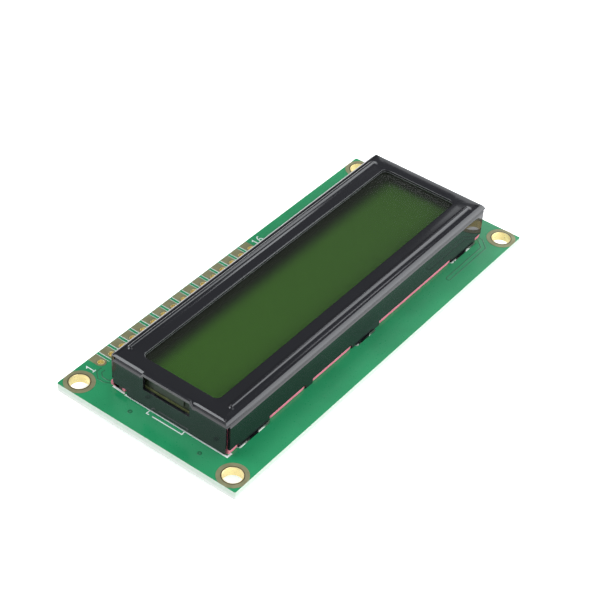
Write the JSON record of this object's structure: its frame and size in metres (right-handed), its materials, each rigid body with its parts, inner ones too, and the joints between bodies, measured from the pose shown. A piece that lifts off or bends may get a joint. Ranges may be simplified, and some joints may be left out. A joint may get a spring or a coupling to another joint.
{
  "type": "character lcd module",
  "caption": "Character display module: black folded steel bezel round a green liquid crystal window, clamped by tabs on a green circuit board with a pin header row.",
  "frame": {"origin": "centre of the circuit board in plan, at the level of the twisted tab ends that the module rests on", "axes": "+X along the board's long side away from the first header pin, +Y towards the edge with the header pads, +Z out of the window"},
  "size_m": [0.08, 0.036, 0.0104],
  "materials": {
    "laminate": "green solder mask over glass-fibre laminate",
    "bezel_coating": "smooth satin black coat on steel sheet",
    "polariser": "dark green film",
    "cell_glass": "thin float glass with a green cast",
    "seal_resin": "cream epoxy",
    "liquid": "thin yellow-green layer",
    "elastomer": "pink silicone with a dark layered core",
    "tray_plastic": "white moulded plastic",
    "diffuser": "milky yellow-green sheet",
    "clear_acrylic": "clear moulded acrylic",
    "lamp_laminate": "bare laminate strip",
    "lamp_lens": "small moulded lamp packages",
    "tinned_wire": "tinned copper wire",
    "solder": "dull bright solder",
    "silicon": "bare silicon",
    "black_resin": "poured black resin",
    "chip_body": "black glazed ceramic",
    "capacitor_body": "tan ceramic"
  },
  "bodies": {
    "root": {"circuit_board": "laminate", "bezel_frame": "bezel_coating", "front_polariser": "polariser", "front_glass": "cell_glass", "rear_glass": "cell_glass", "rear_polariser": "polariser", "perimeter_seal": "seal_resin", "liquid_crystal": "liquid", "fill_port_plug": "seal_resin", "zebra_strip_front": "elastomer", "zebra_strip_back": "elastomer", "backlight_tray": "tray_plastic", "diffuser_sheet": "diffuser", "light_guide": "clear_acrylic", "reflector_film": "tray_plastic", "led_board": "lamp_laminate", "backlight_leds": "lamp_lens", "backlight_terminals": "tinned_wire", "terminal_solder_joints": "solder", "controller_die": "silicon", "controller_cover": "black_resin", "driver_die": "silicon", "driver_cover": "black_resin", "oscillator_resistor": "chip_body", "supply_capacitor": "capacitor_body", "backlight_resistor_1": "chip_body", "backlight_resistor_2": "chip_body", "chip_solder_joints": "solder", "ladder_resistor_1": "chip_body", "ladder_resistor_2": "chip_body", "ladder_resistor_3": "chip_body", "ladder_resistor_4": "chip_body", "ladder_resistor_5": "chip_body"}
  },
  "joints": []
}
